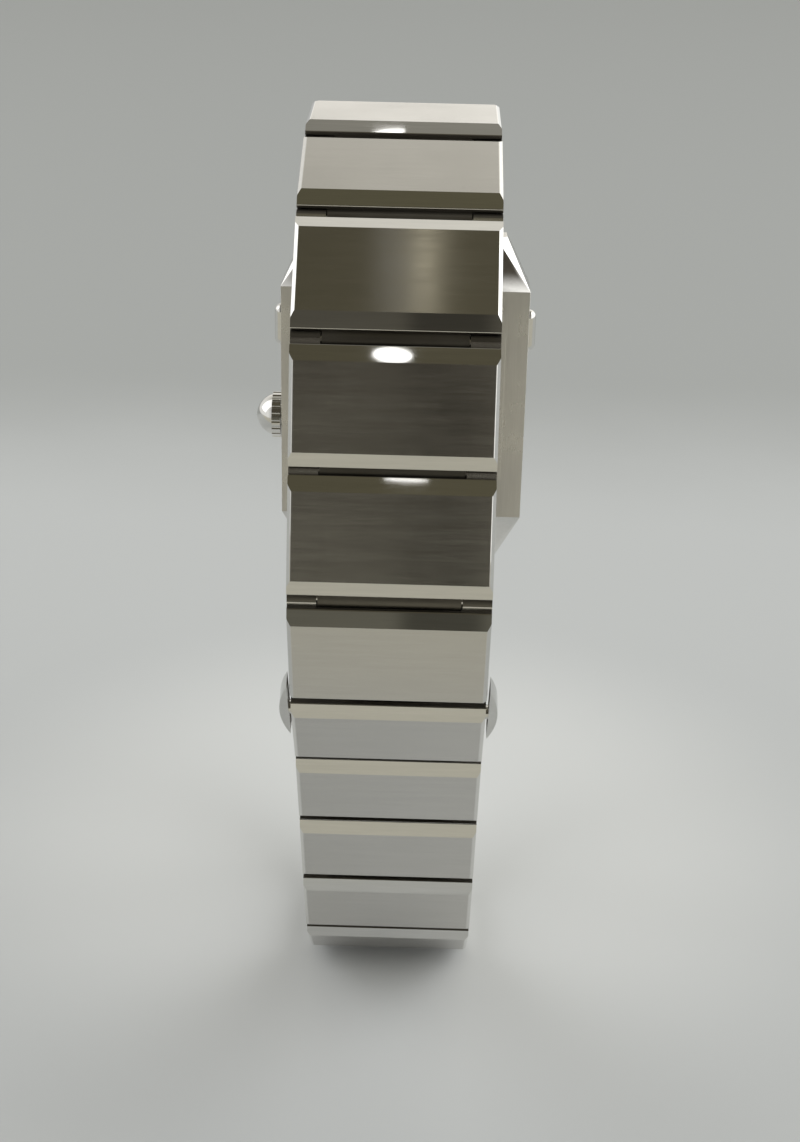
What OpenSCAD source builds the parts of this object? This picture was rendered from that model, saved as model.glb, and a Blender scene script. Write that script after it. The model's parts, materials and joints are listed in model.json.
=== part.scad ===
// Quartz wristwatch with a closed bracelet of wide slab links.
// The origin is the middle of the case back's flat face. X points to the crown,
// Y points from the case back into the wrist opening, Z points to twelve o'clock.

/* [Bracelet links] */
// Width of every link
link_w = 16; // [14:0.5:18]
// Distance between two hinge pins
pitch = 10; // [9.6:0.1:10.4]
// Thickness of a link
link_t = 2.8; // [2.6:0.1:3.1]
// Open joint between two neighbouring links
joint_gap = 0.6; // [0.5:0.05:0.8]
// Length of the polished bevel along a link's top and bottom edge
bevel_len = 1.2; // [0.8:0.05:1.6]
// Depth of that bevel at the edge
bevel_drop = 0.7; // [0.5:0.05:0.8]
// Polished chamfer down each side edge
side_chamfer = 0.3; // [0.1:0.05:0.5]
// Radius of the round knuckles that turn on the pins
knuckle_r = 0.85; // [0.8:0.01:0.9]
// How far the knuckles lie below the bevels' edges
knuckle_sink = 0.35; // [0.2:0.05:0.4]
// Radius of a hinge pin
pin_r = 0.5; // [0.35:0.05:0.6]
// Width of each of the two ears at a link's upper end
ear_w = 2.3; // [1.6:0.1:3]
// Length of the link that closes against the clasp
closing_len = 10.6; // [10:0.1:11.5]
// Extra opening where the two halves meet
seam_gap = 0.6; // [0.3:0.1:0.7]

/* [Bracelet shape] */
// Bend of the first hidden link of the lower half towards the case
tuck_bend = 41; // [36:1:45]
// How far a hinge bends back past straight
back_bend = 10; // [8:1:15]

/* [Case] */
// Half width of the case across the flanks
case_half_w = 12.6; // [12.3:0.1:14]
// Height of the straight part of the flanks above the middle
flank_half_h = 12.2; // [12:0.1:13.5]
// Half width at the tips of the lugs
lug_half_w = 10.1; // [10:0.1:11]
// Height of the lug tips above the middle
lug_tip_z = 17.4; // [17:0.1:18]
// Height of the spring bars above the middle
bar_z = 16; // [15.8:0.1:16.2]
// Depth of the spring bars in front of the case back
bar_y = 3.2; // [3:0.1:3.4]
// Thickness of the case back
back_t = 0.8; // [0.6:0.1:1]
// Thickness of the case middle
middle_t = 4.8; // [4.6:0.1:5.2]
// Thickness of the bezel
bezel_t = 1.3; // [1.2:0.1:1.6]
// Width of the window over the dial
window_w = 15.4; // [14.5:0.1:16]
// Height of the window over the dial
window_h = 18.4; // [17:0.1:19]
// Width of the bezel's rim round the window
rim_w = 2.4; // [2.2:0.1:2.5]
// Thickness of the crystal
crystal_t = 1.1; // [1:0.1:1.2]
// Height of a shoulder bar's middle above the middle of the case
shoulder_z = 7.6; // [7:0.1:8.5]
// Slope of the facet that widens towards each lug's tip
facet_slope = 12; // [6:1:14]

/* [Crown] */
// Radius of the crown
crown_r = 2.4; // [2:0.05:2.4]
// Place of the crown, below the middle of the case
crown_drop = 2.2; // [0:0.1:2.4]
// Length of the crown's fluted skirt
skirt_len = 0.9; // [0.8:0.1:1.4]
// Length of the crown's smooth dome
dome_len = 1.7; // [1.2:0.1:1.9]
// How far the crown pulls out to set the time
crown_pull = 1; // [0.8:0.1:1]
// Radius of the stem
stem_r = 0.5; // [0.4:0.05:0.55]

/* [Dial and hands] */
// Thickness of the dial
dial_t = 0.4; // [0.3:0.05:0.5]
// Length of the minute hand from the middle of the dial
minute_len = 6.6; // [6:0.1:7]
// Length of the hour hand from the middle of the dial
hour_len = 4.6; // [4:0.1:5]
// Thickness of a hand
hand_t = 0.15; // [0.1:0.01:0.18]
// Radius of the centre wheel on the minute hand's arbor
wheel_r = 3.1; // [2.9:0.1:3.2]
// Radius of the hour wheel on the hour hand's pipe
hour_wheel_r = 2.7; // [2.4:0.1:2.8]
// Thickness of the movement
movement_t = 3; // [2.8:0.1:3.2]
// Radius of the battery
battery_r = 3.9; // [3:0.1:4]

/* [Clasp] */
// Distance between the two hinge pins of a clasp blade
blade_len = 15.5; // [14:0.5:16]
// Thickness of a clasp blade
blade_t = 0.65; // [0.5:0.05:0.75]
// Width of the clasp blades
blade_w = 11; // [9:0.5:11]
// Radius of the clasp pins
clasp_pin_r = 0.4; // [0.3:0.05:0.45]
// Length of a push button along the link
button_len = 8; // [6:0.5:9]
// How far a button stands out from its inner face at its middle
button_crown = 0.75; // [0.5:0.05:0.9]
// Travel of a button
button_travel = 0.2; // [0.15:0.05:0.3]

/* [Hidden] */
$fn = 48;

steel = [0.72, 0.71, 0.68];
polished = [0.85, 0.85, 0.83];
pale_dial = [0.93, 0.92, 0.88];
dark = [0.12, 0.12, 0.13];
fit = 0.04;
press = 0.01;
slack = 0.1;
end_gap = joint_gap / 2;
hinge_n = link_t - bevel_drop - knuckle_sink - knuckle_r;
inner_rise = 0.65;
inner_run = 0.45;
tongue_half = link_w / 2 - ear_w - slack;
notch_half = link_w / 2 - ear_w;
relief_r = knuckle_r + slack;
pin_half = link_w / 2 - 0.2;

// The bends between the links of the upper half, from the case round the back to the clasp, in degrees.
upper_bends = [40, 4, 22.5, 20.5, 26.5, 28, -0.5, 32.5];
// The bends between the links of the lower half, from the clasp down and back to the case.
lower_bends = [-6.5, -1.5, 3, 18.5, tuck_bend, 37, 34, 19, -2.5];
upper_count = len(upper_bends) + 1;
lower_count = len(lower_bends) + 1;
count = upper_count + lower_count;

// Heading 0 points up and heading 90 points away from the case. Places are pairs of Y and Z.
function dir(h) = [sin(h), cos(h)];
function aim(v) = atan2(v[0], v[1]);
function turned(v, h) = [v[0] * cos(h) + v[1] * sin(h), v[1] * cos(h) - v[0] * sin(h)];
function sum_to(list, i) = i < 0 ? 0 : list[i] + sum_to(list, i - 1);
function link_len(i) = i == upper_count ? closing_len : pitch;
// Where k links of a half end when its first link starts at the origin and points up.
function chain_end(bends, first, k) =
  k == 0 ? [0, 0] : chain_end(bends, first, k - 1) + link_len(first + k - 1) * dir(sum_to(bends, k - 2));

// The case and the two halves are the three sides of a triangle, which closes the loop.
top_bar = [-bar_y, bar_z];
low_bar = [-bar_y, -bar_z];
upper_span = chain_end(upper_bends, 1, upper_count);
lower_span = chain_end(lower_bends, upper_count + 1, lower_count);
upper_side = norm(upper_span);
case_side_len = 2 * bar_z;
top_corner = acos((pow(upper_side, 2) + pow(case_side_len, 2) - pow(norm(lower_span), 2))
                  / (2 * upper_side * case_side_len));
clasp_joint = top_bar + upper_side * dir(180 - top_corner);
upper_start = 180 - top_corner - aim(upper_span);
lower_start = 360 + aim(low_bar - clasp_joint) - aim(lower_span);
function heading(i) =
  i <= upper_count
  ? upper_start + sum_to(upper_bends, i - 2)
  : lower_start + sum_to(lower_bends, i - upper_count - 2);
function hinge(i) =
  i <= upper_count
  ? top_bar + turned(chain_end(upper_bends, 1, i - 1), upper_start)
  : clasp_joint + turned(chain_end(lower_bends, upper_count + 1, i - upper_count - 1), lower_start);
clasp_i = upper_count + 1;

// Puts a shape drawn along a link in its place: s runs along it from the pin, n outwards from its inner face,
// and the third axis across it.
module at_link(i) {
  translate([0, hinge(i)[0], hinge(i)[1]])
    rotate([-heading(i), 0, 0]) rotate(180, [1, 0, 1])
      translate([0, -hinge_n, 0]) children();
}

module across(low, high) {
  translate([0, 0, low]) linear_extrude(high - low) children();
}

module both_sides(low, high) {
  across(low, high) children();
  across(-high, -low) children();
}

module link_outline(length, bevel_end) {
  top = link_t;
  edge = link_t - bevel_drop;
  run = inner_run + end_gap;
  polygon(concat(
    [[end_gap, inner_rise], [run, 0], [length - run, 0], [length - end_gap, inner_rise]],
    bevel_end ? [[length - end_gap, edge], [length - end_gap - bevel_len, top]] : [[length - end_gap, top]],
    [[end_gap + bevel_len, top], [end_gap, edge]]));
}

module knuckle(s, towards) {
  reach = end_gap + 1;
  translate([s, hinge_n]) circle(knuckle_r);
  translate([min(s, s + towards * reach), hinge_n - knuckle_r]) square([reach, 2 * knuckle_r]);
}

module side_chamfers(length) {
  for (side = [1, -1])
    rotate([90, 0, 90])
      translate([0, 0, -1])
        linear_extrude(length + 2)
          polygon([
            [link_t - side_chamfer, side * link_w / 2],
            [link_t, side * (link_w / 2 - side_chamfer)],
            [link_t + 1, side * (link_w / 2 - side_chamfer)],
            [link_t + 1, side * (link_w / 2 + 1)],
            [link_t - side_chamfer, side * (link_w / 2 + 1)]]);
}

// A link from its upper hinge at s = 0 to its lower hinge at s = length.
module link_body(length, upper_end, lower_end) {
  full_half = link_w / 2 - slack;
  difference() {
    union() {
      across(-link_w / 2, link_w / 2)
        link_outline(length - (lower_end == "butt" ? seam_gap : 0), lower_end != "butt");
      if (upper_end == "ears") both_sides(notch_half, link_w / 2) knuckle(0, 1);
      if (upper_end == "barrel") across(-full_half, full_half) knuckle(0, 1);
      if (lower_end == "tongue") across(-tongue_half, tongue_half) knuckle(length, -1);
      if (lower_end == "barrel") across(-full_half, full_half) knuckle(length, -1);
    }
    if (upper_end == "ears")
      across(-notch_half, notch_half) translate([0, hinge_n]) circle(relief_r);
    if (lower_end == "tongue")
      both_sides(tongue_half, link_w / 2 + 1) translate([length, hinge_n]) circle(relief_r);
    if (upper_end == "ears")
      across(-link_w, link_w) translate([0, hinge_n]) circle(pin_r + press);
    if (upper_end == "barrel")
      across(-link_w, link_w) translate([0, hinge_n]) circle(pin_r + fit);
    if (lower_end == "tongue" || lower_end == "barrel")
      across(-link_w, link_w) translate([length, hinge_n]) circle(pin_r + fit);
    side_chamfers(length);
  }
}

// The closing side of the clasp: a bar in a pocket at the end of the last upper link.
closing_end = closing_len - end_gap - seam_gap;
closing_s = closing_end - 0.55;
closing_n = 0.8;
pocket_half = 4;
module closing_pocket() {
  reach = 1.5;
  across(-pocket_half, pocket_half)
    translate([closing_end - reach, -1])
      square([reach + 1, closing_n + clasp_pin_r + 0.35 + 1]);
}

// The clasp's places along the first link of the lower half, which is its cover.
cover_s = 2.1;
cover_n = -0.6;
fold_n = -1.35;
fold_s = cover_s + blade_len;
clasp_knuckle_r = clasp_pin_r + 0.35;
bracket_t = 1.2;
bracket_half = blade_w / 2 + slack;
button_s = 1.8;
button_n = 1.25;
button_stem_r = 0.6;
button_half_n = 0.75;
button_gap = button_travel + 0.05;
module cover_extras_add() {
  both_sides(bracket_half, bracket_half + bracket_t) {
    translate([cover_s, cover_n]) circle(clasp_knuckle_r);
    translate([cover_s - clasp_knuckle_r, cover_n]) square([2 * clasp_knuckle_r, -cover_n + 0.4]);
  }
}
module cover_extras_cut() {
  reach = 0.75;
  across(-pocket_half - 0.3, pocket_half + 0.3)
    translate([end_gap - 1, -1]) square([reach + 1, 1 + closing_n + 0.9]);
  across(-bracket_half, bracket_half)
    translate([cover_s, cover_n]) circle(clasp_knuckle_r + slack);
  across(-link_w, link_w) translate([cover_s, cover_n]) circle(clasp_pin_r + press);
  for (m = [0, 1])
    mirror([0, 0, m])
      translate([button_s + button_stem_r, button_n, link_w / 2 - 2.2])
        cylinder(r = button_stem_r + fit, h = 3);
}

function upper_end(i) = i == 1 ? "barrel" : i == clasp_i ? "butt" : "ears";
function lower_end(i) = i == count ? "barrel" : i == upper_count ? "butt" : "tongue";

module link(i) {
  color(steel) at_link(i)
    difference() {
      union() {
        link_body(link_len(i), upper_end(i), lower_end(i));
        if (i == clasp_i) cover_extras_add();
      }
      if (i == clasp_i) cover_extras_cut();
      if (i == upper_count) closing_pocket();
      if (i == upper_count)
        across(-pocket_half - 2, pocket_half + 2)
          translate([closing_s, closing_n]) circle(clasp_pin_r + press);
    }
}

// The pin through the ears at a link's upper end.
module link_pin(i) {
  color(polished) at_link(i) across(-pin_half, pin_half) translate([0, hinge_n]) circle(pin_r);
}

module closing_bar() {
  color(polished) at_link(upper_count)
    across(-pocket_half - 1.9, pocket_half + 1.9) translate([closing_s, closing_n]) circle(clasp_pin_r);
}

module cover_pin() {
  color(polished) at_link(clasp_i)
    across(-bracket_half - bracket_t + 0.1, bracket_half + bracket_t - 0.1)
      translate([cover_s, cover_n]) circle(clasp_pin_r);
}

fold_inner_half = 2.6;
module middle_blade() {
  half = blade_w / 2;
  color(steel) at_link(clasp_i)
    difference() {
      union() {
        across(-half, half) translate([cover_s, cover_n]) circle(clasp_knuckle_r);
        across(-half, half) translate([cover_s, cover_n - blade_t / 2])
          square([blade_len - clasp_knuckle_r - 0.4, blade_t]);
        across(-fold_inner_half, fold_inner_half) {
          translate([fold_s, fold_n]) circle(clasp_knuckle_r);
          polygon([
            [fold_s - 2.4, cover_n - blade_t / 2], [fold_s, fold_n - clasp_knuckle_r],
            [fold_s, fold_n + clasp_knuckle_r], [fold_s - 2.4, cover_n + blade_t / 2]]);
        }
      }
      across(-link_w, link_w) translate([cover_s, cover_n]) circle(clasp_pin_r + fit);
      across(-link_w, link_w) translate([fold_s, fold_n]) circle(clasp_pin_r + press);
      // A long window lightens the blade, as stamped blades have.
      across(-half + 2.2, half - 2.2) translate([cover_s + 2.6, -2]) square([blade_len - 7, 3]);
    }
}

module fold_pin() {
  half = blade_w / 2;
  color(polished) at_link(clasp_i)
    across(-half + 0.2, half - 0.2) translate([fold_s, fold_n]) circle(clasp_pin_r);
}

bottom_n = -2.3;
tip_s = 0.2 - end_gap - seam_gap;
module bottom_blade() {
  half = blade_w / 2;
  color(steel) at_link(clasp_i)
    difference() {
      union() {
        across(-half, half) translate([tip_s + 0.75, bottom_n]) square([fold_s - tip_s - 2, blade_t]);
        both_sides(fold_inner_half + slack, half) {
          translate([fold_s, fold_n]) circle(clasp_knuckle_r);
          polygon([
            [fold_s - 2, bottom_n], [fold_s, fold_n - clasp_knuckle_r],
            [fold_s, fold_n + 0.1], [fold_s - 2, bottom_n + blade_t]]);
        }
        // The upright tip stands at the clasp joint, just short of the closing bar.
        across(-pocket_half + 0.2, pocket_half - 0.2)
          polygon([
            [tip_s + 0.75, bottom_n], [tip_s + 1.6, bottom_n], [tip_s + 1.2, bottom_n + blade_t],
            [tip_s + 0.6, 0], [tip_s + 0.6, closing_n + 0.4], [tip_s, closing_n + 0.4], [tip_s, 0.3]]);
      }
      both_sides(fold_inner_half, link_w) translate([fold_s, fold_n]) circle(clasp_pin_r + fit);
      across(-half + 2.2, half - 2.2) translate([4.5, -4]) square([blade_len - 8, 4]);
    }
}

// A half-moon push button, drawn for the side that positive across points to.
module button_shape() {
  face = link_w / 2 + button_gap;
  r = (pow(button_len / 2, 2) + pow(button_crown, 2)) / (2 * button_crown);
  intersection() {
    translate([button_s, button_n, face + button_crown - r])
      rotate([90, 0, 0]) cylinder(r = r, h = 2 * button_half_n, center = true, $fn = 180);
    translate([button_s - button_len / 2, button_n - button_half_n, face])
      cube([button_len, 2 * button_half_n, button_crown + 1]);
  }
  translate([button_s + button_stem_r, button_n, link_w / 2 - 1.6])
    cylinder(r = button_stem_r, h = 1.6 + button_gap + 0.2);
}
module button_left() {
  color(polished) at_link(clasp_i) mirror([0, 0, 1]) button_shape();
}
module button_right() {
  color(polished) at_link(clasp_i) button_shape();
}

// The case, with places along Y counted from the case back's face at 0.
middle_back = -back_t;
middle_front = -back_t - middle_t;
bezel_front = middle_front - bezel_t;
flange_t = 1;
dial_front = middle_front + flange_t;
dial_back = dial_front + dial_t;
cavity_w = window_w + 1.6;
cavity_h = window_h + 1.6;
window_r = 3;
back_w = cavity_w + 3.6;
back_h = cavity_h + 3.6;
screw_r = 0.6;
screw_head_r = 0.95;
screw_x = back_w / 2 - 1.35;
screw_z = back_h / 2 - 1.35;
lug_half_in = link_w / 2 + 0.2;
bar_half = lug_half_in + 1.2;
bar_relief = knuckle_r + 0.2;
crown_y = -bar_y;
crown_z = -crown_drop;

module rounded(w, h, r) {
  square([w - 2 * r, h], center = true);
  square([w, h - 2 * r], center = true);
  for (x = [1, -1], z = [1, -1]) translate([x * (w / 2 - r), z * (h / 2 - r)]) circle(r);
}

// Extrudes an outline drawn in X and Z between two places along Y.
module slab(front, back) {
  translate([0, back, 0]) rotate([90, 0, 0]) linear_extrude(back - front) children();
}

module case_outline() {
  for (x = [1, -1], z = [1, -1])
    scale([x, z])
      polygon([
        [0, 0], [case_half_w, 0], [case_half_w, flank_half_h], [lug_half_w, lug_tip_z],
        [lug_half_in, lug_tip_z], [lug_half_in, bar_z - 0.2], [0, bar_z - 0.2]]);
}

module case_side() {
  for (z = [1, -1])
    scale([1, z])
      polygon([
        [middle_back, 0], [middle_back, flank_half_h], [middle_back - 0.9, lug_tip_z],
        [middle_front + 1.1, lug_tip_z], [middle_front, flank_half_h - 1], [middle_front, 0]]);
}

// A facet on each lug's outer back edge, which starts at the flank's corner and widens to the lug's tip.
module lug_facets() {
  lean = atan2(case_half_w - lug_half_w, lug_tip_z - flank_half_h);
  size = 20;
  for (x = [0, 1], z = [0, 1])
    mirror([x, 0, 0]) mirror([0, 0, z])
      translate([case_half_w, middle_back, flank_half_h])
        rotate([0, -lean, 0]) rotate([0, 0, 45]) rotate([0, -facet_slope, 0])
          translate([0, -size / 2, -size / 2]) cube(size);
}

module case_middle() {
  color(steel)
    difference() {
      union() {
        intersection() {
          slab(middle_front, middle_back) case_outline();
          rotate([90, 0, 90]) linear_extrude(4 * case_half_w, center = true) case_side();
        }
        translate([case_half_w - 0.5, crown_y, crown_z]) rotate([0, 90, 0]) cylinder(r = 1.1, h = 1);
      }
      slab(dial_front, 1) rounded(cavity_w, cavity_h, window_r);
      slab(middle_front - 1, middle_back - 1) rounded(window_w, window_h, window_r - 0.8);
      for (z = [1, -1])
        translate([0, -bar_y, z * bar_z]) rotate([0, 90, 0])
          cylinder(r = bar_relief, h = 2 * lug_half_in, center = true);
      for (z = [1, -1])
        translate([0, -bar_y, z * bar_z]) rotate([0, 90, 0])
          cylinder(r = pin_r + press, h = 2 * bar_half + 0.1, center = true);
      translate([0, crown_y, crown_z]) rotate([0, 90, 0]) cylinder(r = stem_r + fit, h = case_half_w + 2);
      for (x = [1, -1], z = [1, -1])
        translate([x * screw_x, middle_back + 0.1, z * screw_z]) rotate([90, 0, 0])
          cylinder(r = screw_r + press, h = 2.4);
      gasket_groove();
      lug_facets();
      for (x = [1, -1])
        translate([x * case_half_w, shoulder_y, shoulder_z]) rotate([0, 90, 0])
          cylinder(r = stud_r + press, h = 2.4, center = true);
    }
}

groove_w = 0.7;
groove_d = 0.45;
module gasket_outline() {
  difference() {
    rounded(cavity_w + 1 + 2 * groove_w, cavity_h + 1 + 2 * groove_w, window_r + 1.5);
    rounded(cavity_w + 1, cavity_h + 1, window_r + 0.9);
  }
}
module gasket_groove() {
  slab(middle_back - groove_d, middle_back + 0.1) gasket_outline();
}
module back_gasket() {
  color(dark) slab(middle_back - groove_d, middle_back) gasket_outline();
}

module case_back() {
  color(steel)
    difference() {
      slab(middle_back, 0) rounded(back_w, back_h, window_r + 1.5);
      for (x = [1, -1], z = [1, -1])
        translate([x * screw_x, 0, z * screw_z]) rotate([90, 0, 0]) {
          translate([0, 0, -0.1]) cylinder(r = screw_head_r + slack / 2, h = 0.5);
          cylinder(r = screw_r + slack / 2, h = back_t + 1);
        }
    }
}

module back_screws() {
  color(polished)
    for (x = [1, -1], z = [1, -1])
      translate([x * screw_x, 0, z * screw_z]) rotate([90, 0, 0])
        difference() {
          union() {
            translate([0, 0, 0.05]) cylinder(r = screw_head_r, h = 0.35);
            translate([0, 0, 0.3]) cylinder(r = screw_r, h = back_t + 1.6);
          }
          translate([-1, -0.12, -0.1]) cube([2, 0.24, 0.35]);
        }
}

// The crystal's flange sits in a rebate round the window.
rebate = 0.9;
flange_w = window_w + 1.6;
flange_h = window_h + 1.6;
module bezel() {
  rim_front = 0.8;
  color(polished)
    difference() {
      union() {
        slab(bezel_front + rim_front, middle_front)
          rounded(window_w + 2 * rim_w, window_h + 2 * rim_w, window_r + 1.4);
        slab(bezel_front, middle_front)
          rounded(window_w + 2 * rim_w - 0.9, window_h + 2 * rim_w - 0.9, window_r + 0.95);
      }
      slab(bezel_front - 1, middle_front + 1) rounded(window_w, window_h, window_r - 0.8);
      slab(bezel_front - 1, bezel_front + rebate) rounded(flange_w + 2 * fit, flange_h + 2 * fit, window_r);
    }
}

module crystal() {
  step = 0.25;
  seat = bezel_front + rebate;
  color([0.8, 0.86, 0.88, 0.35]) {
    slab(seat - crystal_t + step, seat) rounded(flange_w, flange_h, window_r);
    slab(seat - crystal_t, seat) rounded(flange_w - 2 * step, flange_h - 2 * step, window_r - step);
  }
}

hour_pipe_r = 0.6;
arbor_r = 0.25;
module dial() {
  color(pale_dial)
    difference() {
      slab(dial_front, dial_back) rounded(cavity_w - slack, cavity_h - slack, window_r);
      translate([0, dial_back + 1, 0]) rotate([90, 0, 0]) cylinder(r = hour_pipe_r + slack, h = dial_t + 2);
    }
}

marker_t = 0.12;
module hour_markers() {
  long = 1.9;
  short = 1.3;
  inset_x = window_w / 2 - 1;
  inset_z = window_h / 2 - 1.2;
  color(polished)
    for (hour = [0:11]) {
      a = hour * 30;
      reach = min(inset_x / max(0.001, abs(sin(a))), inset_z / max(0.001, abs(cos(a))));
      size = hour % 3 == 0 ? long : short;
      rotate([0, a, 0])
        translate([-0.2, dial_front - marker_t, reach - size]) cube([0.4, marker_t, size]);
    }
}

// A hand with its hub, and the pipe or arbor that reaches from it into the movement.
module hand(length, width, front, hub_r, stem_radius, end) {
  slab(front, front + hand_t) {
    polygon([[-width / 2, 0], [-width * 0.35, -1.3], [width * 0.35, -1.3], [width / 2, 0], [0, length]]);
    circle(hub_r);
  }
  slab(front, end) circle(stem_radius);
}

hour_front = dial_front - 0.45;
minute_front = dial_front - 0.85;
wheel_t = 0.3;
hour_wheel_t = 0.2;
hour_pipe_end = dial_back + 0.3;
arbor_end = dial_back + 0.8;
// The hour hand's pipe carries the hour wheel, just behind the dial, and turns on the minute hand's arbor.
module hour_hand() {
  color(dark)
    difference() {
      union() {
        rotate([0, 305, 0]) hand(hour_len, 1.1, hour_front, 0.85, hour_pipe_r, hour_pipe_end);
        slab(hour_pipe_end - hour_wheel_t, hour_pipe_end) circle(hour_wheel_r);
      }
      slab(hour_front - 1, hour_pipe_end + 1) circle(arbor_r + fit);
    }
}
// The minute hand's arbor carries the centre wheel.
module minute_hand() {
  color(dark) {
    rotate([0, 60, 0]) hand(minute_len, 0.85, minute_front, 0.7, arbor_r, arbor_end);
    slab(arbor_end - wheel_t, arbor_end) circle(wheel_r);
  }
}

movement_w = cavity_w - 0.2;
movement_h = cavity_h - 0.2;
movement_back = dial_back + movement_t;
battery_t = 1.6;
battery_x = -2;
battery_z = -4.2;
lever_x = 5.4;
lever_t = 0.5;
lever_w = 1.8;
lever_h = 1.6;
lever_foot = 0.65;
neck_r = 0.3;
module movement() {
  color([0.66, 0.6, 0.42])
    difference() {
      slab(dial_back, movement_back) rounded(movement_w, movement_h, window_r);
      translate([battery_x, movement_back + 1, battery_z]) rotate([90, 0, 0])
        cylinder(r = battery_r + slack, h = battery_t + 1);
      slab(dial_back - 1, arbor_end + slack) circle(wheel_r + slack);
      translate([lever_x - 1.9, crown_y, crown_z]) rotate([0, 90, 0])
        cylinder(r = stem_r + fit, h = movement_w);
      translate([lever_x - slack, crown_y - lever_foot - slack, crown_z - lever_w / 2 - slack])
        cube([lever_t + crown_pull + 2 * slack, movement_t + 1, lever_w + 2 * slack]);
    }
}
module battery() {
  color([0.75, 0.76, 0.78])
    translate([battery_x, movement_back, battery_z]) rotate([90, 0, 0])
      union() {
        cylinder(r = battery_r, h = battery_t - 0.3);
        cylinder(r = battery_r - 0.6, h = battery_t);
      }
}

module setting_lever() {
  color(steel)
    difference() {
      translate([lever_x, crown_y - lever_foot, crown_z - lever_w / 2]) cube([lever_t, lever_h, lever_w]);
      translate([lever_x - 1, crown_y, crown_z]) rotate([0, 90, 0]) cylinder(r = neck_r + fit, h = 3);
      translate([lever_x - 1, crown_y, crown_z - neck_r - fit]) cube([3, 3, 2 * (neck_r + fit)]);
    }
}

crown_base = case_half_w + 0.15;
stem_depth = 1.5;
flute_count = 20;
module stem() {
  color(polished)
    translate([0, crown_y, crown_z]) rotate([0, 90, 0])
      difference() {
        translate([0, 0, lever_x - 0.8]) cylinder(r = stem_r, h = crown_base + stem_depth - lever_x + 0.8);
        difference() {
          translate([0, 0, lever_x - 0.05]) cylinder(r = stem_r + 1, h = lever_t + 0.1);
          translate([0, 0, lever_x - 1]) cylinder(r = neck_r, h = lever_t + 2);
        }
      }
}

module crown() {
  dome_r = (pow(crown_r - 0.25, 2) + pow(dome_len, 2)) / (2 * dome_len);
  tip = crown_base + skirt_len + dome_len;
  color(polished)
    translate([0, crown_y, crown_z]) rotate([0, 90, 0])
      difference() {
        union() {
          translate([0, 0, crown_base]) cylinder(r = crown_r, h = skirt_len);
          intersection() {
            translate([0, 0, tip - dome_r]) sphere(r = dome_r, $fn = 96);
            translate([0, 0, crown_base + skirt_len - 0.1]) cylinder(r = crown_r - 0.25, h = dome_len + 1);
          }
        }
        translate([0, 0, crown_base - 0.1]) cylinder(r = 1.1 + slack, h = 0.6);
        translate([0, 0, crown_base]) cylinder(r = stem_r + press, h = stem_depth);
        for (a = [0:flute_count - 1])
          rotate([0, 0, a * 360 / flute_count])
            translate([crown_r + 0.08, 0, crown_base - 0.1]) cylinder(r = 0.2, h = skirt_len + 0.2, $fn = 24);
      }
}

// A rounded bar and a small bead stand out at the upper shoulder of each flank.
shoulder_y = -3.1;
stud_r = 0.4;
bar_len = 2.9;
shoulder_r = 0.75;
module shoulder_bars() {
  color(polished)
    for (x = [1, -1]) {
      translate([x * (case_half_w + 0.05), shoulder_y, shoulder_z])
        intersection() {
          union() {
            cylinder(r = shoulder_r, h = bar_len, center = true);
            for (end = [1, -1]) translate([0, 0, end * bar_len / 2]) sphere(r = shoulder_r);
          }
          translate([x > 0 ? 0 : -2, -2, -3]) cube([2, 4, 6]);
        }
      translate([x * (case_half_w - 0.5), shoulder_y, shoulder_z]) rotate([0, 90, 0])
        cylinder(r = stud_r, h = 1.4, center = true);
    }
}

module case_spring_bars() {
  color(polished)
    for (z = [1, -1])
      translate([0, -bar_y, z * bar_z]) rotate([0, 90, 0])
        cylinder(r = pin_r, h = 2 * bar_half, center = true);
}

case_middle();
bezel();
crystal();
dial();
hour_markers();
movement();
battery();
case_back();
back_gasket();
back_screws();
shoulder_bars();
case_spring_bars();
hour_hand();
minute_hand();
setting_lever();
stem();
crown();
for (i = [1:upper_count])
  link(i);
for (i = [2:upper_count])
  link_pin(i);
for (i = [1:lower_count])
  link(count + 1 - i);
for (i = [1:lower_count - 1])
  link_pin(count + 1 - i);
cover_pin();
middle_blade();
fold_pin();
bottom_blade();
closing_bar();
button_left();
button_right();
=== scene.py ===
"""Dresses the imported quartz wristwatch: finishes, softened steel edges, studio light and camera."""

import json
import logging
import math
from dataclasses import dataclass, field
from enum import Enum
from typing import Callable, ClassVar

import bmesh
import bpy
from mathutils import Matrix, Vector


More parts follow.
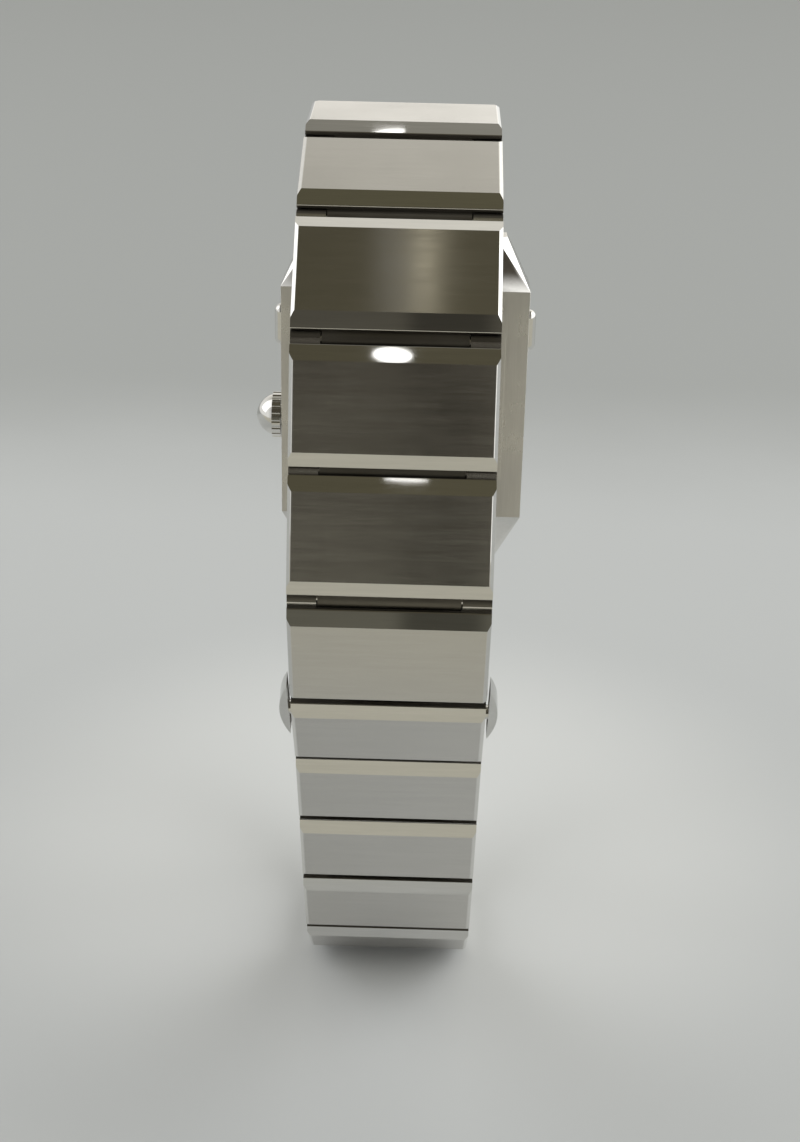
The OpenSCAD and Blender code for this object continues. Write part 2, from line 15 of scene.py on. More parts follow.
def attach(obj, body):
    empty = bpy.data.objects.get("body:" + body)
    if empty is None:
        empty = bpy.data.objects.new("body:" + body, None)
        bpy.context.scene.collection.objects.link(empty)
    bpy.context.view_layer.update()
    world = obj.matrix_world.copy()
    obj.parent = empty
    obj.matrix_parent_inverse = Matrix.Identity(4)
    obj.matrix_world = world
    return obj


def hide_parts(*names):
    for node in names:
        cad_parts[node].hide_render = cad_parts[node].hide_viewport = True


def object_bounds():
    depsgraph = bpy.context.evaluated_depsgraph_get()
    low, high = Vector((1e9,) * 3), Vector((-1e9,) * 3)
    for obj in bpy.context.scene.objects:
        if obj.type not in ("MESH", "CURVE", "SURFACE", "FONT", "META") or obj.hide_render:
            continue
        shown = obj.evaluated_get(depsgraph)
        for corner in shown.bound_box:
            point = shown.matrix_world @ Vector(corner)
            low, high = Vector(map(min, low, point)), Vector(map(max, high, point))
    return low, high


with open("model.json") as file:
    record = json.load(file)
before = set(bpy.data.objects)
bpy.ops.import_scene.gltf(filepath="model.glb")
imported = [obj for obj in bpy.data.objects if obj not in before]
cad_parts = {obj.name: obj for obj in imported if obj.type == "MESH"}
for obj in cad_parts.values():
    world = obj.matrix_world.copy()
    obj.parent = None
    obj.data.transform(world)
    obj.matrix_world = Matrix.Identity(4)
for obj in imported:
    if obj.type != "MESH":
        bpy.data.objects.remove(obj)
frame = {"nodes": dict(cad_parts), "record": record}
CAD_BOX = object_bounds()
MM = 0.001
LOG = logging.getLogger("watch")

Span = tuple[float, float]
Triple = tuple[float, float, float]
Socket = bpy.types.NodeSocket

# The whole range of a share, the values that most of a noise pattern has, and a narrower range with more contrast
SHARE: Span = (0.0, 1.0)
COMMON: Span = (0.3, 0.7)
NARROW: Span = (0.35, 0.65)

# The bend in degrees up to which two faces of a piece are shaded as one surface
SMOOTH_BEND = 24.0


class BrushDirection(Enum):
    """The way the brush lines of a steel face run, with the factors that draw its noise out along them."""

    ACROSS = (0.05, 1.0, 1.0)
    UPRIGHT = (1.0, 1.0, 0.05)
    NONE = (1.0, 1.0, 1.0)


class LinkFace(Enum):
    """The kinds of faces that a slab link has, as material slots."""

    FLAT = 0
    BEVEL = 1
    SIDE = 2
    INNER = 3


@dataclass(frozen=True)
class NoisePattern:
    """A noise pattern: its cycles a metre, its octaves and the weight of the fine octaves."""

    scale: float
    detail: float
    rough: float


class NodeGraph:
    """Builds a node tree in few words."""

    def __init__(self, tree: bpy.types.NodeTree) -> None:
        """Empties the tree.

        Args:
            tree: The tree that is built.
        """
        self.tree = tree
        self.tree.nodes.clear()

    def add(self, kind: str, *sources: Socket, **settings: object) -> bpy.types.Node:
        """Adds a node, sets its properties and feeds its first inputs.

        Args:
            kind: The node's type name.
            sources: The sockets that the first inputs read.
            settings: Properties of the node.

        Returns:
            The new node.
        """
        node = self.tree.nodes.new(kind)
        for key, value in settings.items():
            setattr(node, key, value)
        for source, target in zip(sources, node.inputs):
            self.link(source, target)
        return node

    def link(self, source: Socket, target: Socket) -> None:
        """Joins two sockets."""
        self.tree.links.new(source, target)

    def feed(self, value: Socket | Triple | float, target: Socket) -> None:
        """Gives an input a socket to read, a colour or a number."""
        if isinstance(value, bpy.types.NodeSocket):
            self.link(value, target)
        elif isinstance(value, tuple):
            target.default_value = (*value, 1.0)
        else:
            target.default_value = value

    def ranged(self, value: Socket, source: Span, target: Span, smooth: bool = False) -> Socket:
        """Maps a value from one range to another, held at the ends.

        Args:
            value: The value.
            source: The two values that become the target's ends.
            target: The ends of the new range.
            smooth: Whether the change starts and ends softly.

        Returns:
            The mapped value's socket.
        """
        node = self.add("ShaderNodeMapRange", interpolation_type="SMOOTHSTEP" if smooth else "LINEAR")
        for name, number in zip(("From Min", "From Max", "To Min", "To Max"), (*source, *target)):
            node.inputs[name].default_value = number
        self.link(value, node.inputs["Value"])
        return node.outputs["Result"]

    def calculate(self, operation: str, *values: Socket | float, held: bool = False) -> Socket:
        """Joins values by an operation.

        Args:
            operation: The operation's name.
            values: The values, each a socket or a number.
            held: Whether the result is held between 0 and 1.

        Returns:
            The result's socket.
        """
        node = self.add("ShaderNodeMath", operation=operation, use_clamp=held)
        for value, target in zip(values, node.inputs):
            self.feed(value, target)
        return node.outputs[0]

    def blend(self, amount: Socket, first: Socket | Triple | float, second: Socket | Triple | float,
              kind: str = "RGBA") -> Socket:
        """Blends two colours or two numbers.

        Args:
            amount: The share of the second one.
            first: The first colour or number.
            second: The second colour or number.
            kind: RGBA for colours and FLOAT for numbers.

        Returns:
            The result's socket.
        """
        node = self.add("ShaderNodeMix", data_type=kind)
        for name, value in (("Factor", amount), ("A", first), ("B", second)):
            self.feed(value, node.inputs[name])
        return node.outputs["Result"]


class MaterialGraph(NodeGraph):
    """The node tree of a new material, with its shader."""

    def __init__(self, name: str) -> None:
        """Starts a material with a shader and its output.

        Args:
            name: The material's name.
        """
        self.material = bpy.data.materials.new(name)
        self.material.use_nodes = True
        super().__init__(self.material.node_tree)
        self.shader = self.add("ShaderNodeBsdfPrincipled")
        output = self.add("ShaderNodeOutputMaterial")
        self.link(self.shader.outputs["BSDF"], output.inputs["Surface"])

    def set_input(self, name: str, value: Socket | Triple | float) -> None:
        """Gives one of the shader's inputs its value."""
        self.feed(value, self.shader.inputs[name])

    def coordinates(self, scale: Triple = (1.0, 1.0, 1.0)) -> Socket:
        """Gives object coordinates.

        Args:
            scale: The factors along the three axes.

        Returns:
            The vector socket.
        """
        mapping = self.add("ShaderNodeMapping", self.add("ShaderNodeTexCoord").outputs["Object"])
        mapping.inputs["Scale"].default_value = scale
        return mapping.outputs["Vector"]

    def noise(self, vector: Socket, pattern: NoisePattern) -> Socket:
        """Adds a noise pattern.

        Args:
            vector: The coordinates it reads.
            pattern: Its settings.

        Returns:
            The pattern's value socket.
        """
        node = self.add("ShaderNodeTexNoise", vector)
        node.inputs["Scale"].default_value = pattern.scale
        node.inputs["Detail"].default_value = pattern.detail
        node.inputs["Roughness"].default_value = pattern.rough
        return node.outputs["Fac"]

    def bump(self, height: Socket, strength: float, depth: float) -> None:
        """Gives the shader a bumped normal.

        Args:
            height: The height pattern.
            strength: The share of the bump.
            depth: The pattern's depth in metres.
        """
        node = self.add("ShaderNodeBump")
        for name, value in (("Strength", strength), ("Distance", depth), ("Height", height)):
            self.feed(value, node.inputs[name])
        self.set_input("Normal", node.outputs["Normal"])


@dataclass(frozen=True)
class SteelFinish:
    """A steel surface, brushed, satin or polished, with smears and fine scratches."""

    name: str
    tone: Triple
    roughness: float
    brush: BrushDirection = BrushDirection.ACROSS
    brush_depth: float = 0.0
    anisotropy: float = 0.0
    scratches: float = 0.0
    smears: float = 0.06

    SMEARS: ClassVar[NoisePattern] = NoisePattern(170.0, 4.0, 0.55)
    LINES: ClassVar[NoisePattern] = NoisePattern(9000.0, 5.0, 0.75)
    LINES_SHARE: ClassVar[float] = 0.6
    COARSE_LINES: ClassVar[NoisePattern] = NoisePattern(2200.0, 2.0, 0.5)
    COARSE_SHARE: ClassVar[float] = 0.4
    BRUSHED_SPREAD: ClassVar[float] = 0.03
    SMOOTH_SPREAD: ClassVar[float] = 0.006
    DULL_SHARE: ClassVar[float] = 0.91
    SCRATCHES: ClassVar[NoisePattern] = NoisePattern(1500.0, 2.0, 0.4)
    SCRATCH_STRETCH: ClassVar[Triple] = (1.0, 0.06, 0.06)
    SCRATCH_WIDTH: ClassVar[float] = 0.006
    SCRATCHED_SMEAR: ClassVar[Span] = (0.52, 0.62)
    SCRATCH_ROUGHNESS: ClassVar[float] = 0.12
    SCRATCH_HEIGHT: ClassVar[float] = 0.2
    NOISE_MIDDLE: ClassVar[float] = 0.5
    QUARTER_TURN: ClassVar[float] = 0.25

    def scratch_mask(self, graph: MaterialGraph, smear: Socket) -> Socket:
        """Draws fine upright scratches where the surface is smeared.

        Args:
            graph: The material's nodes.
            smear: The smear pattern.

        Returns:
            The socket that is 1 on a scratch.
        """
        upright = graph.noise(graph.coordinates(self.SCRATCH_STRETCH), self.SCRATCHES)
        apart = graph.calculate("ABSOLUTE", graph.calculate("SUBTRACT", upright, self.NOISE_MIDDLE))
        thin = graph.ranged(apart, (0.0, self.SCRATCH_WIDTH), (1.0, 0.0))
        return graph.calculate("MULTIPLY", thin, graph.ranged(smear, self.SCRATCHED_SMEAR, SHARE))

    def stretch_shine(self, graph: MaterialGraph) -> None:
        """Stretches the shine square to the brush lines.

        Args:
            graph: The material's nodes.
        """
        way = graph.add("ShaderNodeCombineXYZ")
        way.inputs[0].default_value = 1.0 if self.brush is BrushDirection.ACROSS else 0.0
        way.inputs[2].default_value = 1.0 if self.brush is BrushDirection.UPRIGHT else 0.0
        graph.set_input("Anisotropic", self.anisotropy)
        graph.set_input("Anisotropic Rotation", self.QUARTER_TURN)
        graph.set_input("Tangent", way.outputs[0])

    def build(self) -> bpy.types.Material:
        """Makes the material.

        Returns:
            The material.
        """
        graph = MaterialGraph(self.name)
        graph.set_input("Metallic", 1.0)
        smear = graph.noise(graph.coordinates(), self.SMEARS)
        lines = graph.noise(graph.coordinates(self.brush.value), self.LINES)
        coarse = graph.noise(graph.coordinates(self.brush.value), self.COARSE_LINES)
        coarse_part = graph.calculate("MULTIPLY", coarse, self.COARSE_SHARE)
        grain = graph.calculate("MULTIPLY_ADD", lines, self.LINES_SHARE, coarse_part)
        height = grain
        worn = graph.ranged(smear, NARROW, (-self.smears, self.smears))
        if self.scratches > 0.0:
            mask = self.scratch_mask(graph, smear)
            added = graph.calculate("MULTIPLY", mask, self.SCRATCH_ROUGHNESS * self.scratches)
            worn = graph.calculate("ADD", worn, added)
            cut = graph.calculate("MULTIPLY", mask, self.SCRATCH_HEIGHT * self.scratches)
            height = graph.calculate("SUBTRACT", grain, cut)
        spread = self.BRUSHED_SPREAD if self.brush_depth > 0.0 else self.SMOOTH_SPREAD
        even = graph.ranged(grain, COMMON, (self.roughness - spread, self.roughness + spread))
        graph.set_input("Roughness", graph.calculate("ADD", even, worn, held=True))
        dull = tuple(part * self.DULL_SHARE for part in self.tone)
        graph.set_input("Base Color", graph.blend(graph.ranged(grain, NARROW, SHARE), dull, self.tone))
        if self.anisotropy > 0.0:
            self.stretch_shine(graph)
        if self.brush_depth > 0.0:
            graph.bump(height, 1.0, self.brush_depth)
        return graph.material


@dataclass(frozen=True)
class PlainFinish:
    """A painted, plated, rubber or glass surface with a fine grain, or with rays from the middle."""

    name: str
    tone: Triple
    second: Triple
    roughness: float
    metallic: float = 0.0
    transmission: float = 0.0
    grain: float = 900.0
    depth: float = 0.0
    sunray: bool = False

    RAYS: ClassVar[NoisePattern] = NoisePattern(60.0, 5.0, 0.7)
    GRAIN_DETAIL: ClassVar[float] = 4.0
    GRAIN_ROUGH: ClassVar[float] = 0.6
    GLASS_IOR: ClassVar[float] = 1.52
    SPREAD: ClassVar[float] = 0.05
    BUMP_STRENGTH: ClassVar[float] = 0.6

    def pattern(self, graph: MaterialGraph) -> Socket:
        """Gives the pattern that colour, roughness and bump follow.

        Args:
            graph: The material's nodes.

        Returns:
            The pattern's socket.
        """
        if not self.sunray:
            return graph.noise(graph.coordinates(), NoisePattern(self.grain, self.GRAIN_DETAIL, self.GRAIN_ROUGH))
        split = graph.add("ShaderNodeSeparateXYZ", graph.coordinates())
        angle = graph.calculate("ARCTAN2", split.outputs[0], split.outputs[2])
        return graph.noise(graph.add("ShaderNodeCombineXYZ", angle).outputs[0], self.RAYS)

    def build(self) -> bpy.types.Material:
        """Makes the material.

        Returns:
            The material.
        """
        graph = MaterialGraph(self.name)
        graph.set_input("Metallic", self.metallic)
        graph.set_input("Transmission Weight", self.transmission)
        if self.transmission > 0.0:
            graph.set_input("IOR", self.GLASS_IOR)
        pattern = self.pattern(graph)
        graph.set_input("Base Color", graph.blend(graph.ranged(pattern, COMMON, SHARE), self.tone, self.second))
        rough = (max(0.0, self.roughness - self.SPREAD), self.roughness + self.SPREAD)
        graph.set_input("Roughness", graph.ranged(pattern, COMMON, rough))
        if self.depth > 0.0:
            graph.bump(pattern, self.BUMP_STRENGTH, self.depth)
        return graph.material


class Finishes:
    """Every finish of the watch, made once and shared."""

    def __init__(self) -> None:
        """Makes the materials."""
        steel = (0.63, 0.615, 0.585)
        bright = (0.71, 0.70, 0.675)
        # The inner faces and knuckles take a dark tone: partly dirt and oxide, partly painted shade for the dark
        # gaps between the links
        dirt_and_shade_tone = (0.15, 0.14, 0.12)
        across, upright, none = BrushDirection.ACROSS, BrushDirection.UPRIGHT, BrushDirection.NONE
        self.face = SteelFinish("brushed_face", steel, 0.16, across, brush_depth=0.45e-6, anisotropy=1.0,
                                scratches=0.3, smears=0.015).build()
        self.bevel = SteelFinish("polished_bevel", bright, 0.03, across, scratches=0.2, smears=0.006).build()
        self.side = SteelFinish("satin_side", bright, 0.22, across, brush_depth=0.8e-6, anisotropy=0.3,
                                scratches=0.3, smears=0.05).build()
        # Dark inner steel: dirt and oxide, plus painted shade between the links
        self.inner = SteelFinish("dirty_shaded_inner", dirt_and_shade_tone, 0.45, across, brush_depth=1.5e-6,
                                 anisotropy=0.2).build()
        self.flank = SteelFinish("brushed_flank", steel, 0.30, upright, brush_depth=1.0e-6, anisotropy=0.6,
                                 scratches=0.5).build()
        self.shine = SteelFinish("polished_steel_piece", bright, 0.10, none, scratches=0.4, smears=0.03).build()
        self.blade = SteelFinish("stamped_blade", steel, 0.28, upright, brush_depth=1.5e-6, anisotropy=0.3,
                                 scratches=0.6).build()
        self.dial = PlainFinish("sunray_dial", (0.80, 0.79, 0.75), (0.88, 0.87, 0.83), 0.32, metallic=0.35,
                                depth=2.0e-6, sunray=True).build()
        self.hand = PlainFinish("black_hand", (0.02, 0.02, 0.024), (0.05, 0.05, 0.055), 0.22,
                                depth=1.0e-6).build()
        self.brass = PlainFinish("plated_movement", (0.60, 0.50, 0.28), (0.74, 0.65, 0.42), 0.34, metallic=1.0,
                                 depth=2.0e-6).build()
        self.cell = PlainFinish("cell_case", (0.62, 0.63, 0.65), (0.72, 0.73, 0.75), 0.36, metallic=1.0,
                                depth=1.0e-6).build()
        self.rubber = PlainFinish("gasket_rubber", (0.018, 0.018, 0.018), (0.035, 0.035, 0.035), 0.75,
                                  depth=4.0e-6).build()
        self.glass = PlainFinish("clear_crystal", (0.98, 0.99, 0.99), (1.0, 1.0, 1.0), 0.05, transmission=1.0,
                                 grain=120.0).build()
        self.ink = PlainFinish("printed_track", (0.03, 0.03, 0.03), (0.06, 0.06, 0.06), 0.5).build()


@dataclass(frozen=True)
class Softening:
    """How a copied mesh is merged into flat faces and rounded: widths in metres, bends in degrees."""

    radius: float
    shortest: float
    crisp_bend: float = 14.0

    MERGED: ClassVar[float] = 0.001 * MM
    FLAT_BEND: ClassVar[float] = 0.6
    SEGMENTS: ClassVar[int] = 2
    ROUND_PROFILE: ClassVar[float] = 0.5

    def copy(self, node: str) -> bmesh.types.BMesh:
        """Copies a node's mesh, merges it and rounds its longer sharp edges.

        Args:
            node: The node's name.

        Returns:
            The new mesh, which the caller frees.
        """
        shape = bmesh.new()
        shape.from_mesh(frame["nodes"][node].data)
        bmesh.ops.remove_doubles(shape, verts=shape.verts, dist=self.MERGED)
        bmesh.ops.dissolve_limit(shape, angle_limit=math.radians(self.FLAT_BEND), verts=shape.verts,
                                 edges=shape.edges)
        sharp = [edge for edge in shape.edges
                 if edge.is_manifold and edge.calc_length() > self.shortest
                 and abs(edge.calc_face_angle_signed(0.0)) > math.radians(self.crisp_bend) and edge.is_convex]
        bmesh.ops.bevel(shape, geom=sharp, offset=self.radius, offset_type="OFFSET", affect="EDGES",
                        segments=self.SEGMENTS, profile=self.ROUND_PROFILE, material=-1, clamp_overlap=True)
        bmesh.ops.recalc_face_normals(shape, faces=shape.faces)
        return shape


def finished_piece(name: str, shape: bmesh.types.BMesh, body: str,
                   materials: list[bpy.types.Material], nodes: tuple[str, ...] = (),
                   plane: tuple[int, ...] = ()) -> bpy.types.Object:
    """Turns a mesh into a piece that rides on a body.

    The normals that a copy carries over from its node are dropped, because they shade flat faces as curved ones.

    Args:
        name: The piece's name.
        shape: The mesh, which is freed here.
        body: The body it rides on.
        materials: The materials in the order of the faces' indices.
        nodes: The nodes that the piece stands for.
        plane: The indices of the faces that are shaded as true planes.

    Returns:
        The piece.
    """
    data = bpy.data.meshes.new(name)
    shape.to_mesh(data)
    shape.free()
    carried = data.attributes.get("custom_normal")
    if carried is not None:
        data.attributes.remove(carried)
    for material in materials:
        data.materials.append(material)
    data.shade_smooth()
    data.set_sharp_from_angle(angle=math.radians(SMOOTH_BEND))
    for polygon in data.polygons:
        polygon.use_smooth = polygon.material_index not in plane
    piece = bpy.data.objects.new(name, data)
    bpy.context.scene.collection.objects.link(piece)
    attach(piece, body)
    if nodes:
        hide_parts(*nodes)
    LOG.info("%s: %d faces on %s", name, len(data.polygons), body)
    return piece


@dataclass
class Bracelet:
    """The slab links of both halves. A heading is a link's direction, 0 up and 90 away from the case."""

    upper_headings: tuple[float, ...] = (26.2, 66.2, 70.2, 92.7, 113.2, 139.7, 167.7, 167.2, 199.7)
    lower_headings: tuple[float, ...] = (355.9, 358.4, 339.4, 305.4, 268.4, 227.4, 208.9, 205.9, 207.4, 213.9)
    thickness: float = 2.8 * MM
    bevel_drop: float = 0.7 * MM
    hinge_depth: float = 0.9 * MM
    ear_inside: float = 5.6 * MM
    softening: Softening = Softening(0.07 * MM, 0.9 * MM, 34.0)
    side_facing: float = 0.92
    flat_facing: float = 0.99
    flat_slack: float = 0.03 * MM
    bevel_facing: float = 0.2
    bevel_slack: float = 0.12 * MM
    ear_facing: float = 0.98

    def kind(self, face: bmesh.types.BMFace, outwards: Vector, hinge: Vector) -> LinkFace:
        """Tells which kind a link's face is.

        Args:
            face: The face.
            outwards: The direction in which the link's flat front faces.
            hinge: A place on one of the link's hinge lines.

        Returns:
            The kind.
        """
        middle = face.calc_center_median()
        out = face.normal.dot(outwards)
        height = (middle - hinge).dot(outwards) + self.hinge_depth
        if abs(face.normal.x) > self.side_facing:
            return LinkFace.SIDE
        if out > self.flat_facing and height > self.thickness - self.flat_slack:
            return LinkFace.FLAT
        if out > self.bevel_facing and height > self.thickness - self.bevel_drop - self.bevel_slack:
            return LinkFace.BEVEL
        if out > self.ear_facing and abs(middle.x) > self.ear_inside:
            return LinkFace.SIDE
        return LinkFace.INNER

    def build_link(self, node: str, body: str, heading: float, finishes: Finishes) -> bpy.types.Object:
        """Makes one link's piece.

        Args:
            node: The link's node.
            body: The link's body.
            heading: The link's direction in degrees.
            finishes: The shared finishes.

        Returns:
            The piece.
        """
        shape = self.softening.copy(node)
        hinge = next(joint for joint in frame["record"]["behaviour"]["joints"] if joint["child"] == body)
        turn = math.radians(heading)
        outwards = Vector((0.0, -math.cos(turn), math.sin(turn)))
        for face in shape.faces:
            face.material_index = self.kind(face, outwards, Vector(hinge["pos_m"])).value
        materials = [finishes.face, finishes.bevel, finishes.side, finishes.inner]
        planes = (LinkFace.FLAT.value, LinkFace.BEVEL.value, LinkFace.SIDE.value)
        return finished_piece(f"{node}_slab", shape, body, materials, (node,), planes)

    def build(self, finishes: Finishes) -> None:
        """Makes every link.

        Args:
            finishes: The shared finishes.
        """
        for half, headings in (("upper", self.upper_headings), ("lower", self.lower_headings)):
            for number, heading in enumerate(headings, 1):
                self.build_link(f"{half}_link_{number}", f"{half}_{number}", heading, finishes)


@dataclass
class Case:
    """The case middle, its bezel and its back, and the minute track on the dial."""

    softening: Softening = Softening(0.09 * MM, 0.8 * MM)
    straight: float = 0.996
    dial_front: float = -(0.8 + 4.8 - 1.0) * MM
    track_half: Span = (7.1 * MM, 8.6 * MM)
    track_gap: float = 0.01 * MM
    minutes: int = 60
    marked_minutes: int = 5
    bar_width: float = 0.09 * MM
    marked_width: float = 0.16 * MM
    bar_depth: float = 0.02 * MM
    bar_length: float = 0.45 * MM
    least: float = 1e-6

    def dress_case(self, finishes: Finishes) -> None:
        """Rounds the edges of the case middle, bezel and back, and splits their faces by finish."""
        for node, flat, slot in (("case_middle", finishes.flank, "brushed_steel"),
                                 ("bezel", finishes.shine, "polished_steel"),
                                 ("case_back", finishes.flank, "brushed_steel")):
            shape = self.softening.copy(node)
            for face in shape.faces:
                face.material_index = 0 if max(abs(part) for part in face.normal) > self.straight else 1
            finished_piece(f"{node}_shell", shape, "case", [flat, finishes.shine], (node,), (0,))

    def print_track(self, finishes: Finishes) -> None:
        """Lays the minute track on the dial as thin printed bars."""
        shape = bmesh.new()
        half_x, half_z = self.track_half
        middle = Matrix.Translation((0.0, self.dial_front - self.track_gap, 0.0))
        for minute in range(self.minutes):
            angle = math.radians(minute * 360 / self.minutes)
            reach = min(half_x / max(self.least, abs(math.sin(angle))),
                        half_z / max(self.least, abs(math.cos(angle))))
            width = self.bar_width if minute % self.marked_minutes else self.marked_width
            size = Matrix.Diagonal((width, self.bar_depth, self.bar_length, 1.0))
            place = middle @ Matrix.Rotation(angle, 4, "Y") @ Matrix.Translation((0.0, 0.0, reach))
            bmesh.ops.create_cube(shape, size=1.0, matrix=place @ size)
        finished_piece("minute_track", shape, "case", [finishes.ink])

    def build(self, finishes: Finishes) -> None:
        """Makes the case's pieces.

        Args:
            finishes: The shared finishes.
        """
        self.dress_case(finishes)
        self.print_track(finishes)


@dataclass
class Clasp:
    """The folding clasp's blades."""

    softening: Softening = Softening(0.05 * MM, 0.6 * MM)

    def build(self, finishes: Finishes) -> None:
        """Makes the blades' pieces.

        Args:
            finishes: The shared finishes.
        """
        for node in ("middle_blade", "bottom_blade"):
            shape = self.softening.copy(node)
            finished_piece(f"{node}_pressed", shape, node, [finishes.blade], (node,))


@dataclass
class CarriedNodes:
    """Finishes for the nodes whose shapes stay as they are."""

    common: str = "shine"
    special: dict[str, str] = field(default_factory=lambda: {
        "crystal": "glass", "dial": "dial", "movement": "brass", "battery": "cell", "back_gasket": "rubber",
        "hour_hand": "hand", "minute_hand": "hand", "setting_lever": "flank"})

    def build(self, finishes: Finishes) -> None:
        """Gives each node its material.

        Args:
            finishes: The shared finishes.
        """
        for name, node in frame["nodes"].items():
            material = getattr(finishes, self.special.get(name, self.common))
            node.data.materials.clear()
            node.data.materials.append(material)
            LOG.info("%s wears %s", name, material.name)


@dataclass(frozen=True)
class Lamp:
    """An area lamp that faces the watch.

    Its brightness is its power divided by pi and by its width times its height, which is a rectangle's radiance.
    """

    name: str
    place: Triple
    size: Span
    brightness: float
    colour: Triple = (1.0, 1.0, 1.0)

    OVAL_BELOW: ClassVar[float] = 0.05

    def hang(self) -> None:
        """Adds the lamp to the scene."""
        data = bpy.data.lights.new(self.name, "AREA")
        data.color = self.colour
        data.shape = "ELLIPSE" if min(self.size) < self.OVAL_BELOW else "RECTANGLE"
        data.size, data.size_y = self.size
        data.energy = self.brightness * math.pi * self.size[0] * self.size[1]
        lamp = bpy.data.objects.new(self.name, data)
        lamp.location = self.place
        lamp.rotation_euler = (-Vector(self.place)).to_track_quat("-Z", "Y").to_euler()
        bpy.context.scene.collection.objects.link(lamp)
        LOG.info("%s hangs at %s", self.name, self.place)


@dataclass
class Floor:
    """The pale paper under the watch. It is greyer behind it and warmer in front, and painted light makes it
    lighter round the watch, where the watch's own shadow falls.
    """

    gap: float = 0.3 * MM
    far_edge: float = -1500 * MM
    near_edge: float = 330 * MM
    half_width: float = 1500 * MM
    near_paper: Triple = (0.593, 0.613, 0.622)
    far_paper: Triple = (0.434, 0.450, 0.450)
    warm_paper: Triple = (0.65, 0.635, 0.56)
    # Painted light: the lighter paper round the watch that lifts its shadow, with its middle and span below
    painted_light_paper: Triple = (0.71, 0.727, 0.730)
    shade_span: Span = (-185 * MM, -95 * MM)
    warm_span: Span = (50 * MM, 80 * MM)
    painted_light_middle: float = -5 * MM
    painted_light_span: Span = (62 * MM, 26 * MM)
    tooth: NoisePattern = NoisePattern(25.0, 3.0, 0.5)
    tooth_reach: float = 4 * MM
    roughness: float = 0.9
    specular: float = 0.1

    def paper(self, low: float) -> bpy.types.Material:
        """Makes the paper's material.

        Args:
            low: The floor's height.

        Returns:
            The material.
        """
        graph = MaterialGraph("studio_floor")
        place = graph.coordinates()
        distance = graph.add("ShaderNodeSeparateXYZ", place).outputs[1]
        tooth = graph.ranged(graph.noise(place, self.tooth), COMMON, (-self.tooth_reach, self.tooth_reach))
        away = graph.calculate("ADD", distance, tooth)
        shade = graph.ranged(away, self.shade_span, (1.0, 0.0), smooth=True)
        warmth = graph.ranged(away, self.warm_span, SHARE, smooth=True)
        # Painted light: a soft pool of lighter paper round the watch, which lifts the watch's own shadow on the
        # floor
        apart = graph.add("ShaderNodeVectorMath", place, operation="DISTANCE")
        apart.inputs[1].default_value = (0.0, self.painted_light_middle, low)
        painted_light = graph.ranged(apart.outputs["Value"], self.painted_light_span, SHARE, smooth=True)
        near = graph.blend(painted_light, self.near_paper, self.painted_light_paper)
        shaded = graph.blend(shade, near, self.far_paper)
        graph.set_input("Base Color", graph.blend(warmth, shaded, self.warm_paper))
        graph.set_input("Roughness", self.roughness)
        graph.set_input("Specular IOR Level", self.specular)
        return graph.material

    def build(self) -> None:
        """Lays the floor just below the watch."""
        low = CAD_BOX[0][2] - self.gap
        middle = Matrix.Translation((0.0, (self.near_edge + self.far_edge) / 2, low))
        size = Matrix.Diagonal((2 * self.half_width, self.near_edge - self.far_edge, 1.0, 1.0))
        shape = bmesh.new()
        bmesh.ops.create_grid(shape, x_segments=1, y_segments=1, size=0.5, matrix=middle @ size)
        data = bpy.data.meshes.new("studio_floor")
        shape.to_mesh(data)
        shape.free()
        data.materials.append(self.paper(low))
        sheet = bpy.data.objects.new("studio_floor", data)
        bpy.context.scene.collection.objects.link(sheet)


